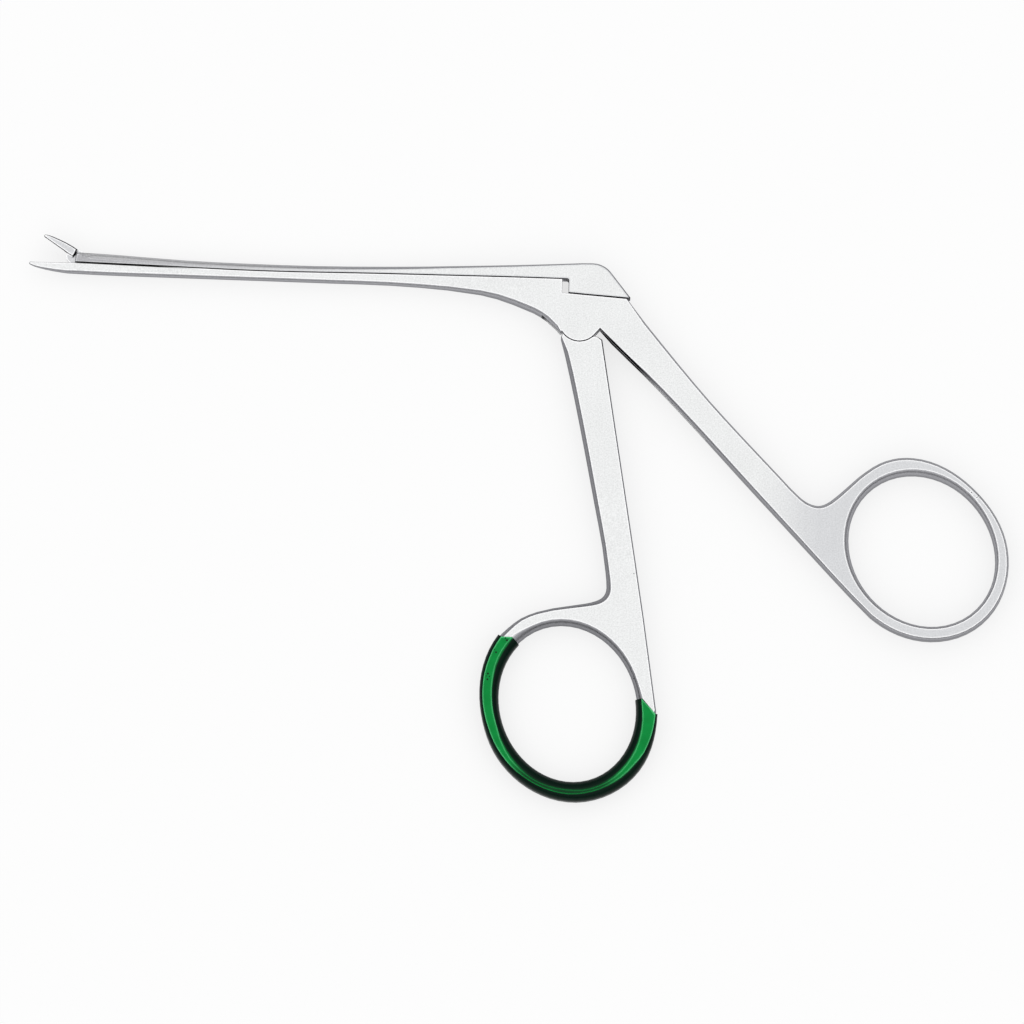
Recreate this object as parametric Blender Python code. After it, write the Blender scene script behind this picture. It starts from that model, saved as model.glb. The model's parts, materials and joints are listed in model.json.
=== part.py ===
"""Ear forceps: a long slender shaft set at an angle to two finger rings.

Squeezing the front ring turns the finger lever about the hub, its tongue pushes the slider
forward along the seat of the shaft, and the slider tips the upper jaw down on the lower one.
The instrument lies on its side: +X runs from the jaws to the rear ring, +Y from the front
ring to the shaft, +Z is up. Sizes are millimetres, angles are degrees. The plan is drawn
about the lever's pivot and then moved so that the origin is under the middle of the box.
"""

import math

import bmesh
import bpy
from mathutils import Matrix

MM = 0.001

# Edges: the flanks are dressed in an arc that meets the ground face at this slope, and the arc
# takes at most this share of the half thickness. Fitted edges are nearly sharp.
FACE_SLOPE = 52.0
ARC_SHARE = 0.70
SHARP_EDGE = 0.06

# Thickness of the forging, as half thicknesses either side of the middle plane.
HUB_HALF = 2.20
RING_BAR_HALF = 2.00
SHAFT_HALF = 1.10
NOSE_HALF = 1.03
JAW_ROOT_HALF = 0.74
JAW_TIP_HALF = 0.50

# The two motions that the squeeze links.
LEVER_SWING = 9.4
JAW_SWING = 33.5
DRIVE_ARM = 5.62
TRAVEL = 2 * DRIVE_ARM * math.sin(math.radians(LEVER_SWING / 2))
LINK_ARM = TRAVEL / (2 * math.sin(math.radians(JAW_SWING / 2)))

# Reach from the lever's pivot to the tip of the lower jaw, and what the jaws take of it.
WORKING_LENGTH = 83.40
JAW_LENGTH = 7.30
LOWER_JAW_OVERHANG = 0.50

# Jaw pivot, measured from the lever's pivot, and the shaft between them.
JAW_PIVOT_REACH = WORKING_LENGTH - JAW_LENGTH - LOWER_JAW_OVERHANG
JAW_PIVOT_HEIGHT = 5.82
SEAT_HEIGHT = 6.28
SEAT_RISE = 0.18
BOW_DEPTH = 0.31
BOW_AT = 0.635
BOW_SPREAD = 0.20
SLIDE_GAP = 0.08
TAPER_START = 6.0
TAPER_LENGTH = 21.0

# Lower bar under the seat, as (share of the reach, depth below the seat, edge rounding).
BAR_DEPTH = (
    (0.96, 1.66, 0.42), (0.80, 1.55, 0.43), (0.64, 1.39, 0.43), (0.50, 1.505, 0.43),
    (0.38, 1.65, 0.43), (0.265, 2.10, 0.45),
)

# Slider above its sliding face, as (share of the reach, depth, edge rounding on top).
SLIDER_DEPTH = (
    (0.975, 1.48, 0.88), (0.925, 1.365, 0.90), (0.86, 1.18, 0.85), (0.79, 1.035, 0.74),
    (0.66, 1.015, 0.68), (0.53, 0.96, 0.60), (0.40, 1.055, 0.50), (0.26, 1.41, 0.36),
    (0.13, 1.82, 0.28), (0.05, 2.18, 0.24),
)

# Hub: the boss that the lever's shoulder turns round, and the step for the slider's block.
BOSS_RADIUS = 3.05
BOSS_START = 213.0
SHOULDER_GAP = 0.07
STEP_X = -2.78
STEP_FOOT = 4.17
HUB_TOP_FALL = 0.057
STOP_GAP = 0.06
BLOCK_GAP = 0.14
NOTCH = (3.15, -1.02)
HUB_UNDER = (
    (-15.0, 3.69, 0.48), (-12.5, 3.16, 0.52), (-10.0, 2.37, 0.56), (-7.0, 1.24, 0.56),
    (-5.0, 0.11, 0.52), (-3.55, -1.11, 0.42), (-2.85, -1.78, 0.16),
)

# Slider block over the hub.
BLOCK_TOP = 8.84
BLOCK_CORNER_X = 3.47
BLOCK_CORNER_RADIUS = 3.6
BLOCK_SLANT = 50.8
SHOULDER_ROUND = 0.30
BLOCK_ROUND = 0.22

# Tongue of the lever and the slots it works in.
TONGUE_HALF = 0.78
SLOT_CLEARANCE = 0.07
TONGUE_BOSS = 2.45
TONGUE_TIP = 1.25
TONGUE_ROOT = 6.2
SAW_RADIUS = 16.5
SAW_CENTRE = (3.74, -12.98)
WINDOW_MARGIN = 0.42
BLOCK_SLOT_MARGIN = 0.20

# Pins, flush with the faces.
PIVOT_PIN_RADIUS = 1.10
DRIVE_PIN_RADIUS = 0.60
JAW_PIN_RADIUS = 0.30
LINK_PIN_RADIUS = 0.28
PIN_SEAT = 0.02
PIN_RUNNING = 0.05
JAW_RUNNING = 0.04
LINK_RUNNING = 0.08
LINK_PIN_HALF = 0.80

# Jaws. The upper one is drawn closed: forward from its pivot, and up.
BITE_LIFT = 0.63
BITE_GAP = 0.05
BLADE_ROOT = 1.95
BLADE_BACK = (
    (1.95, 1.92, 0.20), (2.90, 1.90, 0.20), (4.00, 1.79, 0.20), (5.05, 1.61, 0.19),
    (6.10, 1.40, 0.17), (6.85, 1.17, 0.14),
)
LOWER_JAW_UNDER = (
    (7.05, 0.63, 0.12), (6.30, 0.85, 0.17), (5.30, 1.07, 0.23), (4.30, 1.25, 0.29),
    (3.20, 1.40, 0.35), (2.00, 1.53, 0.39),
)
JAW_TIP_RADIUS = 0.18
SEAT_END = 0.90
HEEL_START = 1.40
HEEL_END = 2.40
TANG_HALF = 0.34
TANG_RADIUS = 0.58
TANG_CLEARANCE = 0.06
NECK_FRONT = ((2.86, 0.75), (2.84, 0.25), (2.45, -0.20), (1.90, -0.40))
NOSE_GAP = 0.19
NOSE_RADIUS = 0.35
FORK_MARGIN = 1.05
TOOTH_PITCH = 0.30
TOOTH_DEPTH = 0.08
TOOTH_FIRST = 3.35

# Foot under the slider that keeps it down on the seat.
FOOT_AT = 0.80
FOOT_LENGTH = 3.0
FOOT_NECK_HALF = 0.26
FOOT_HEAD_HALF = 0.50
FOOT_NECK = 0.34
FOOT_HEAD = 0.32
FOOT_CLEARANCE = 0.07

# Rear ring and its shank. Ring points are measured from the ring's own centre, and the dressing
# is how far filing took the outer edge off its ellipse, by direction.
REAR_SHANK_LENGTH = 62.32
REAR_SHANK_ANGLE = -32.103
REAR_HOLE = (12.06, 10.50)
REAR_WALL = (2.60, 2.00)
REAR_DRESSING = (
    (0, 0.28), (53, -0.18), (92, -0.03), (104, -0.06), (236, -0.10), (280, -0.09), (352, 0.29),
    (360, 0.28),
)
REAR_SHIFT = (-0.54, 0.24)
REAR_TILT = -51.0
REAR_UNDER = (
    (0.094, 0.10, 0.18), (0.202, -1.17, 0.36), (0.312, -2.67, 0.42), (0.422, -4.31, 0.44),
    (0.535, -6.07, 0.42), (0.647, -7.75, 0.40), (0.760, -9.44, 0.38), (0.850, -10.79, 0.34),
)
REAR_OVER = (
    (0.136, 5.29, 0.30), (0.255, 2.99, 0.30), (0.372, 0.89, 0.30), (0.484, -0.825, 0.30),
    (0.594, -2.395, 0.30), (0.655, -3.28, 0.32),
)
REAR_NECK = (
    (-17.66, 6.79, 0.38), (-15.9, 6.31, 0.48), (-14.6, 6.72, 0.52), (-12.68, 8.24, 0.52),
    (-9.89, 10.86, 0.46), (-6.80, 13.04, 0.42), (-3.97, 13.94, 0.41),
)
REAR_INNER_ROUND = ((0, 0.48), (90, 0.82), (180, 0.68), (270, 0.42), (360, 0.48))
REAR_OUTER_ROUND = ((0, 0.32), (90, 0.40), (180, 0.40), (270, 0.30), (360, 0.32))

# Front ring, its shank and its coat.
FRONT_SHANK_LENGTH = 58.08
FRONT_SHANK_ANGLE = -89.94
FRONT_HOLE = (12.11, 10.43)
FRONT_WALL = (2.89, 2.71)
FRONT_SHIFT = (0.10, 0.27)
FRONT_TILT = -71.0
FRONT_DRESSING = (
    (136, -0.02), (190, -0.20), (222, -0.02), (254, -0.06), (285, -0.02), (320, 0.17), (352, -0.02),
    (360, 0.0),
)
LEVER_FRONT = (
    (0.045, -2.71, 0.16), (0.085, -2.04, 0.50), (0.207, -0.29, 0.56), (0.340, 1.46, 0.56),
    (0.473, 3.14, 0.54), (0.585, 4.55, 0.52), (0.650, 5.14, 0.56), (0.690, 5.36, 0.66),
)
LEVER_NECK = (
    (5.19, 17.02, 0.74), (4.69, 16.30, 0.74), (3.79, 15.79, 0.70), (2.25, 15.33, 0.56),
    (-0.25, 14.87, 0.48), (-2.65, 14.43, 0.44), (-5.05, 13.78, 0.42), (-7.45, 12.70, 0.40),
    (-9.35, 11.19, 0.38),
)
LEVER_BACK_TOP = (3.54, -2.75)
LEVER_BACK_MIDDLE = (11.15, 13.08)
LEVER_BACK_FOOT = (13.40, -0.52)
LEVER_BACK_ROUND = 0.20
FRONT_INNER_ROUND = (
    (0, 0.90), (7, 0.90), (16, 0.70), (90, 0.86), (122, 0.88), (131, 0.98), (190, 0.98), (225, 1.08),
    (270, 1.22), (315, 1.05), (360, 0.90),
)
FRONT_OUTER_ROUND = (
    (0, 0.30), (130, 0.36), (138, 0.42), (190, 0.46), (225, 0.72), (270, 0.86), (315, 0.74),
    (352, 0.34), (360, 0.30),
)

COAT_THICKNESS = 0.20
COAT_GAP = 0.03
COAT_OUTER = (137.5, 354.0)
COAT_INNER = (131.0, 365.5)
COAT_OUTER_ROUND = ((138, 0.42), (190, 0.46), (225, 0.72), (270, 0.86), (315, 0.74), (354, 0.32))
COAT_INNER_ROUND = ((131, 0.98), (190, 0.98), (225, 1.08), (270, 1.22), (315, 1.05), (366, 0.92))
COAT_STATIONS = 42

# Fineness of curves.
CURVE_STEP = 4.0
CURVE_TURN = 5.0
RING_POINTS = 56
SEAT_POINTS = 24
ROUND_LEVELS = 3


def polar(reach, angle):
    """Point at a distance and direction from the lever's pivot."""
    return (reach * math.cos(math.radians(angle)), reach * math.sin(math.radians(angle)))


REAR_RING = polar(REAR_SHANK_LENGTH, REAR_SHANK_ANGLE)
FRONT_RING = polar(FRONT_SHANK_LENGTH, FRONT_SHANK_ANGLE)


def read_table(table, place):
    """Value of a table of (place, value) pairs at a place, eased between its rows."""
    if place <= table[0][0]:
        return table[0][1]
    for (p0, v0), (p1, v1) in zip(table, table[1:]):
        if place <= p1:
            t = (place - p0) / (p1 - p0)
            t = t * t * (3 - 2 * t)
            return v0 + (v1 - v0) * t
    return table[-1][1]


def bend(before, at, after):
    """Degrees that a path turns at a point."""
    a = math.atan2(at[1] - before[1], at[0] - before[0])
    b = math.atan2(after[1] - at[1], after[0] - at[0])
    turn = math.degrees(b - a) % 360
    return min(turn, 360 - turn)


def smooth_run(rows, step=CURVE_STEP, lead=None, trail=None):
    """Points on a smooth curve through rows of (x, y, edge rounding), closer where it bends.

    lead and trail are points of the neighbouring curves, which it meets in line.
    """
    lead = lead or tuple(2 * a - b for a, b in zip(rows[0], rows[1]))
    trail = trail or tuple(2 * a - b for a, b in zip(rows[-1], rows[-2]))
    knots = [lead] + list(rows) + [trail]
    points = []
    for k in range(1, len(knots) - 2):
        p0, p1, p2, p3 = knots[k - 1:k + 3]
        span = math.dist(p1[:2], p2[:2])
        turn = (bend(p0, p1, p2) + bend(p1, p2, p3)) / 2
        count = max(1, round(span / step), round(turn / CURVE_TURN))
        t1 = max(math.dist(p0[:2], p1[:2]), 0.01) ** 0.5
        t2 = max(span, 0.01) ** 0.5
        t3 = max(math.dist(p2[:2], p3[:2]), 0.01) ** 0.5
        for i in range(count):
            t = i / count
            row = []
            for a, b, c, d in zip(p0, p1, p2, p3):
                m1 = t2 * ((b - a) / t1 - (c - a) / (t1 + t2) + (c - b) / t2)
                m2 = t2 * ((c - b) / t2 - (d - b) / (t2 + t3) + (d - c) / t3)
                cube = t * t * t
                square = t * t
                value = (2 * cube - 3 * square + 1) * b + (cube - 2 * square + t) * m1
                value += (3 * square - 2 * cube) * c + (cube - square) * m2
                row.append(value)
            points.append(tuple(row))
    points.append(tuple(rows[-1]))
    return points


def edge_profile(rounding, half, levels=ROUND_LEVELS):
    """Dressed edge from the face to the flank, as rows of (distance in from the outline, height)."""
    slope = math.radians(FACE_SLOPE)
    drop = min(rounding / math.tan(slope / 2), ARC_SHARE * half)
    rows = []
    for k in range(levels, -1, -1):
        angle = slope * k / levels
        shift = rounding * (1 - math.cos(angle)) / (1 - math.cos(slope))
        rows.append((shift, half - drop * (1 - math.sin(angle) / math.sin(slope))))
    return rows


def arc_run(centre, radius, start, end, rounding, count):
    """Points on a circular arc, angles in degrees."""
    points = []
    for i in range(count + 1):
        a = math.radians(start + (end - start) * i / count)
        points.append((centre[0] + radius * math.cos(a), centre[1] + radius * math.sin(a), rounding))
    return points


def ellipse_point(centre, halves, tilt, direction):
    """Point and outward normal of a tilted ellipse in a given direction from its centre."""
    turn = math.radians(direction - tilt)
    reach = 1 / math.hypot(math.cos(turn) / halves[0], math.sin(turn) / halves[1])
    u = reach * math.cos(turn)
    v = reach * math.sin(turn)
    nu = u / halves[0] ** 2
    nv = v / halves[1] ** 2
    size = math.hypot(nu, nv)
    c = math.cos(math.radians(tilt))
    s = math.sin(math.radians(tilt))
    point = (centre[0] + u * c - v * s, centre[1] + u * s + v * c)
    normal = ((nu * c - nv * s) / size, (nu * s + nv * c) / size)
    return point, normal


def ring_run(centre, halves, tilt, start, end, rounding, count, dressing=((0, 0.0), (360, 0.0))):
    """Points along an elliptical ring edge; rounding and dressing are tables by direction."""
    points = []
    for i in range(count + 1):
        direction = start + (end - start) * i / count
        (x, y), (nx, ny) = ellipse_point(centre, halves, tilt, direction)
        off = read_table(dressing, direction % 360)
        points.append((x + nx * off, y + ny * off, read_table(rounding, direction % 360)))
    return points


def from_ring(centre, rows):
    """Rows measured from a ring's centre, as rows in the plan."""
    return [(centre[0] + x, centre[1] + y, f) for x, y, f in rows]


def along_shank(centre, rows):
    """Rows of (share of the way to the ring's centre, offset to its left) in the plan."""
    reach = math.hypot(*centre)
    ux = centre[0] / reach
    uy = centre[1] / reach
    return [(s * reach * ux - d * uy, s * reach * uy + d * ux, f) for s, d, f in rows]


def seat_at(x):
    """Height of the seat between the lower bar and the slider."""
    t = -x / JAW_PIVOT_REACH
    bow = BOW_DEPTH * math.exp(-((t - BOW_AT) / BOW_SPREAD) ** 2)
    return SEAT_HEIGHT + SEAT_RISE * t - bow


def seat_run(start, end, lift, rounding, count):
    """Points along the seat, lifted by a clearance."""
    xs = [start + (end - start) * i / count for i in range(count + 1)]
    return [(x, seat_at(x) + lift, rounding) for x in xs]


def hub_top_at(x):
    """Height of the hub's top, under the slider's block."""
    return STEP_FOOT - HUB_TOP_FALL * (x - STEP_X)


def ease(t):
    t = min(max(t, 0.0), 1.0)
    return t * t * (3 - 2 * t)


def shaft_half(x, y):
    """Half thickness along the shaft: hub, taper, shaft, then the jaw's own taper."""
    taper = ease((-TAPER_START - x) / TAPER_LENGTH)
    half = HUB_HALF + (SHAFT_HALF - HUB_HALF) * taper
    front = -JAW_PIVOT_REACH
    half += (NOSE_HALF - SHAFT_HALF) * ease((-x - 0.55 * JAW_PIVOT_REACH) / (0.4 * JAW_PIVOT_REACH))
    half += (JAW_ROOT_HALF - NOSE_HALF) * ease((front - 0.3 - x) / 3.0)
    half += (JAW_TIP_HALF - JAW_ROOT_HALF) * ease((front - 3.3 - x) / (JAW_LENGTH - 3.0))
    return half


def slider_half(x, y):
    """Half thickness of the slider: as the shaft, without the jaw's taper."""
    return shaft_half(max(x, -JAW_PIVOT_REACH), y)


def lever_half(x, y):
    """Half thickness of the lever: the hub's, easing to the thinner ring bar."""
    return HUB_HALF + (RING_BAR_HALF - HUB_HALF) * ease((-y - 20.0) / 22.0)


def blade_half(x, y):
    """Half thickness of the upper blade, in its own frame."""
    t = (-x - BLADE_ROOT) / (JAW_LENGTH - BLADE_ROOT)
    return JAW_ROOT_HALF + (JAW_TIP_HALF - JAW_ROOT_HALF) * ease(t)


def tidy_loop(points, anticlockwise):
    """Loop without doubled points, running the asked way round."""
    loop = []
    for p in points:
        if not loop or math.dist(p[:2], loop[-1][:2]) > 0.015:
            loop.append(p)
    if math.dist(loop[0][:2], loop[-1][:2]) <= 0.015:
        loop.pop()
    area = sum(a[0] * b[1] - b[0] * a[1] for a, b in zip(loop, loop[1:] + loop[:1]))
    if (area > 0) != anticlockwise:
        loop.reverse()
    return loop


def inward(loop):
    """Unit direction into the material at each point, lengthened at corners."""
    result = []
    count = len(loop)
    for i in range(count):
        a = loop[i - 1]
        b = loop[i]
        c = loop[(i + 1) % count]
        d1 = math.dist(a[:2], b[:2])
        d2 = math.dist(b[:2], c[:2])
        n1 = (-(b[1] - a[1]) / d1, (b[0] - a[0]) / d1)
        n2 = (-(c[1] - b[1]) / d2, (c[0] - b[0]) / d2)
        sx = n1[0] + n2[0]
        sy = n1[1] + n2[1]
        size = math.hypot(sx, sy)
        stretch = min(2 / size, 1.7)
        result.append((sx / size * stretch, sy / size * stretch))
    return result


def plate_mesh(outline, holes, half, stations=(), levels=ROUND_LEVELS):
    """Flat forging: an outline with holes, its edges rounded, its thickness from half(x, y)."""
    bm = bmesh.new()
    top_edges = []
    bottom_edges = []
    loops = [tidy_loop(outline, True)] + [tidy_loop(hole, False) for hole in holes]
    for loop in loops:
        normals = inward(loop)
        rings = []
        for side in (1, -1):
            order = range(levels + 1) if side == 1 else range(levels, -1, -1)
            for k in order:
                ring = []
                for (x, y, f), (nx, ny) in zip(loop, normals):
                    shift, z = edge_profile(f, half(x, y), levels)[k]
                    ring.append(bm.verts.new((x + nx * shift, y + ny * shift, side * z / half(x, y))))
                rings.append(ring)
        for upper, lower in zip(rings, rings[1:]):
            for i in range(len(loop)):
                j = (i + 1) % len(loop)
                bm.faces.new((upper[i], lower[i], lower[j], upper[j]))
        for ring, edges in ((rings[0], top_edges), (rings[-1], bottom_edges)):
            for i in range(len(ring)):
                edges.append(bm.edges.get((ring[i], ring[(i + 1) % len(ring)])))
    bmesh.ops.triangle_fill(bm, use_beauty=True, use_dissolve=False, edges=top_edges, normal=(0, 0, 1))
    bmesh.ops.triangle_fill(bm, use_beauty=True, use_dissolve=False, edges=bottom_edges, normal=(0, 0, -1))
    bmesh.ops.recalc_face_normals(bm, faces=bm.faces[:])
    for normal, place in stations:
        geometry = bm.verts[:] + bm.edges[:] + bm.faces[:]
        co = (place, 0, 0) if normal == "X" else (0, place, 0)
        no = (1, 0, 0) if normal == "X" else (0, 1, 0)
        bmesh.ops.bisect_plane(bm, geom=geometry, dist=0.001, plane_co=co, plane_no=no)
    for v in bm.verts:
        v.co.z *= half(v.co.x, v.co.y)
    return bm


def prism_mesh(points, low, high):
    """Straight prism on a plan outline."""
    bm = bmesh.new()
    loop = tidy_loop([(p[0], p[1], 0) for p in points], True)
    floor = [bm.verts.new((p[0], p[1], low)) for p in loop]
    face = bm.faces.new(floor)
    result = bmesh.ops.extrude_face_region(bm, geom=[face])
    moved = [g for g in result["geom"] if isinstance(g, bmesh.types.BMVert)]
    bmesh.ops.translate(bm, verts=moved, vec=(0, 0, high - low))
    bmesh.ops.recalc_face_normals(bm, faces=bm.faces[:])
    return bm


def box_mesh(x0, x1, y0, y1, z0, z1):
    return prism_mesh([(x0, y0), (x1, y0), (x1, y1), (x0, y1)], z0, z1)


def pin_mesh(centre, radius, half, segments):
    """Round pin or bore across the plates."""
    bm = bmesh.new()
    bmesh.ops.create_cone(bm, cap_ends=True, segments=segments, radius1=radius, radius2=radius,
                          depth=2 * half, matrix=Matrix.Translation((centre[0], centre[1], 0)))
    return bm


def steel(name, colour, roughness):
    material = bpy.data.materials.new(name)
    material.use_nodes = True
    shader = material.node_tree.nodes["Principled BSDF"]
    shader.inputs["Base Color"].default_value = (*colour, 1)
    shader.inputs["Metallic"].default_value = 1.0
    shader.inputs["Roughness"].default_value = roughness
    return material


def enamel(name, colour, roughness):
    material = steel(name, colour, roughness)
    material.node_tree.nodes["Principled BSDF"].inputs["Metallic"].default_value = 0.0
    return material


def make_object(name, bm, origin=(0, 0), turn=0.0, drawn_at_origin=False):
    """Object from a mesh drawn in plan millimetres, with its origin at a plan point."""
    if not drawn_at_origin:
        bmesh.ops.translate(bm, verts=bm.verts[:], vec=(-origin[0], -origin[1], 0))
    bmesh.ops.scale(bm, verts=bm.verts[:], vec=(MM, MM, MM))
    mesh = bpy.data.meshes.new(name)
    bm.to_mesh(mesh)
    bm.free()
    obj = bpy.data.objects.new(name, mesh)
    bpy.context.scene.collection.objects.link(obj)
    obj.location = (origin[0] * MM, origin[1] * MM, 0)
    obj.rotation_euler = (0, 0, math.radians(turn))
    return obj


def add_boolean(obj, bm, operation, label, origin=(0, 0), turn=0.0, drawn_at_origin=False):
    """Cut a tool out of an object, or join it on."""
    tool = make_object(obj.name + "_" + label, bm, origin, turn, drawn_at_origin)
    tool.hide_render = True
    tool.display_type = "WIRE"
    tool.parent = FRAME
    modifier = obj.modifiers.new(label, "BOOLEAN")
    modifier.operation = operation
    modifier.solver = "EXACT"
    modifier.object = tool


def finish(obj, material):
    obj.data.materials.append(material)
    obj.data.shade_smooth()
    obj.data.set_sharp_from_angle(angle=math.radians(32))
    obj.parent = FRAME


def shaft_stations():
    """Cuts across the plates where the thickness changes."""
    places = [-TAPER_START - TAPER_LENGTH * i / 7 for i in range(8)]
    places += [-0.55 * JAW_PIVOT_REACH - 0.4 * JAW_PIVOT_REACH * i / 3 for i in range(4)]
    places += [-JAW_PIVOT_REACH - 0.3 - 3.0 * i / 4 for i in range(5)]
    return [("X", place) for place in places]


def tang_points(widen):
    """Plan of the upper jaw's tang, drawn closed, forward and up from the jaw pivot."""
    link = (LINK_ARM * math.sin(math.radians(JAW_SWING / 2)), LINK_ARM * math.cos(math.radians(JAW_SWING / 2)))
    radius = TANG_RADIUS + widen
    lean = math.degrees(math.atan2(link[1], link[0]))
    points = [(BLADE_ROOT + 0.45, BLADE_BACK[0][1] - 0.45, 0), (BLADE_ROOT - 0.1, BLADE_BACK[0][1], 0)]
    points += arc_run(link, radius, 82, lean + 90, 0, 7)
    points += arc_run((0, 0), radius, lean + 90, 252, 0, 8)
    points += smooth_run([(a, b, 0) for a, b in reversed(NECK_FRONT)], 0.3)
    points.append((BLADE_ROOT + 0.8, BITE_LIFT + 0.35, 0))
    return [(-a, b) for a, b, _ in points]


def link_place():
    """Link pin when the jaws are open, midway in the rise and fall of its arc."""
    turn = math.radians(90 - JAW_SWING / 2)
    rise = LINK_ARM * (1 - math.sin(turn))
    return (-JAW_PIVOT_REACH + LINK_ARM * math.cos(turn), JAW_PIVOT_HEIGHT + LINK_ARM * math.sin(turn) + rise / 2)


def drive_place():
    """Drive pin when the jaws are open, midway in the rise and fall of its arc."""
    turn = math.radians(90 - LEVER_SWING / 2)
    rise = DRIVE_ARM * (1 - math.sin(turn))
    return (DRIVE_ARM * math.cos(turn), DRIVE_ARM * math.sin(turn) + rise / 2)


def tooth_mesh(first, last, level_at, side):
    """Comb of V grooves across a biting face; side is the way that the metal lies."""
    bm = bmesh.new()
    half_pitch = TOOTH_PITCH * 0.46
    count = int((last - first) / TOOTH_PITCH)
    for i in range(count):
        place = first + TOOTH_PITCH * (i + 0.5)
        rise = level_at(place)
        ends = []
        for z in (-2.0, 2.0):
            ends.append([bm.verts.new((-place - half_pitch, rise - side * 0.05, z)),
                         bm.verts.new((-place + half_pitch, rise - side * 0.05, z)),
                         bm.verts.new((-place, rise + side * TOOTH_DEPTH, z))])
        bm.faces.new(ends[0])
        bm.faces.new(reversed(ends[1]))
        for k in range(3):
            j = (k + 1) % 3
            bm.faces.new((ends[0][k], ends[1][k], ends[1][j], ends[0][j]))
    bmesh.ops.recalc_face_normals(bm, faces=bm.faces[:])
    return bm


def lower_bite_at(forward):
    """Height of the lower jaw's biting face over the lever's pivot."""
    return JAW_PIVOT_HEIGHT + BITE_LIFT - BITE_GAP


def foot_span():
    """Rear and front ends of the slider's foot with the jaws open."""
    rear = -FOOT_AT * JAW_PIVOT_REACH
    return rear, rear - FOOT_LENGTH


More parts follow.
